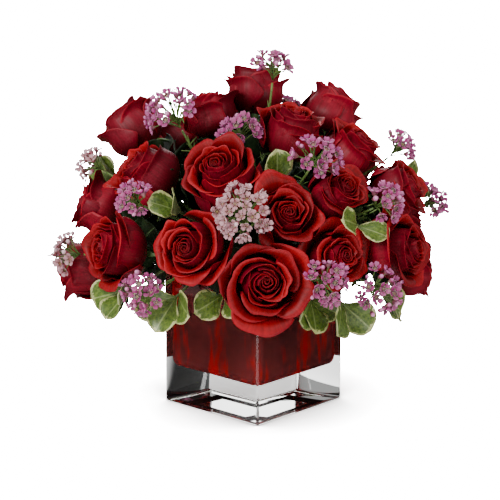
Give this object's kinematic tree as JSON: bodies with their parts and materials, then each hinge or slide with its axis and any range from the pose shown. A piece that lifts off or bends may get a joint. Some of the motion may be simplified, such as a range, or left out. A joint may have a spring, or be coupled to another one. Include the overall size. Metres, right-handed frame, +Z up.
{
  "type": "roses in a vase",
  "caption": "Dome of cut red roses with pink waxflower and variegated pittosporum in a square clear glass vase with a ruby cup inside.",
  "frame": {"origin": "centre of the vase's flat underside", "axes": "+Z up out of the vase, X and Y square to the vase's faces, -Y and +X the two faces seen first"},
  "size_m": [0.296, 0.2771, 0.2843],
  "materials": {
    "clear_glass": "polished",
    "ruby_glass": "polished",
    "rose_petals": "matte",
    "waxflower": "matte",
    "pittosporum_leaf": "satin"
  },
  "bodies": {
    "root": {"vase_glass": "clear_glass", "ruby_lining": "ruby_glass", "rose_01": "rose_petals", "rose_02": "rose_petals", "rose_03": "rose_petals", "rose_04": "rose_petals", "rose_05": "rose_petals", "rose_06": "rose_petals", "rose_07": "rose_petals", "rose_08": "rose_petals", "rose_09": "rose_petals", "rose_10": "rose_petals", "rose_11": "rose_petals", "rose_12": "rose_petals", "rose_13": "rose_petals", "rose_14": "rose_petals", "rose_15": "rose_petals", "rose_16": "rose_petals", "rose_17": "rose_petals", "rose_18": "rose_petals", "rose_19": "rose_petals", "rose_20": "rose_petals", "rose_21": "rose_petals", "rose_22": "rose_petals", "rose_23": "rose_petals", "rose_24": "rose_petals", "rose_25": "rose_petals", "rose_26": "rose_petals", "rose_27": "rose_petals", "waxflower_01": "waxflower", "waxflower_02": "waxflower", "waxflower_03": "waxflower", "waxflower_04": "waxflower", "waxflower_05": "waxflower", "waxflower_06": "waxflower", "waxflower_07": "waxflower", "waxflower_08": "waxflower", "waxflower_09": "waxflower", "waxflower_10": "waxflower", "waxflower_11": "waxflower", "waxflower_12": "waxflower", "waxflower_13": "waxflower", "waxflower_14": "waxflower", "waxflower_15": "waxflower", "waxflower_16": "waxflower", "waxflower_17": "waxflower", "waxflower_18": "waxflower", "pittosporum_01": "pittosporum_leaf", "pittosporum_02": "pittosporum_leaf", "pittosporum_03": "pittosporum_leaf", "pittosporum_04": "pittosporum_leaf", "pittosporum_05": "pittosporum_leaf", "pittosporum_06": "pittosporum_leaf", "pittosporum_07": "pittosporum_leaf", "pittosporum_08": "pittosporum_leaf", "pittosporum_09": "pittosporum_leaf", "pittosporum_10": "pittosporum_leaf", "pittosporum_11": "pittosporum_leaf", "pittosporum_12": "pittosporum_leaf", "pittosporum_13": "pittosporum_leaf"}
  },
  "joints": []
}
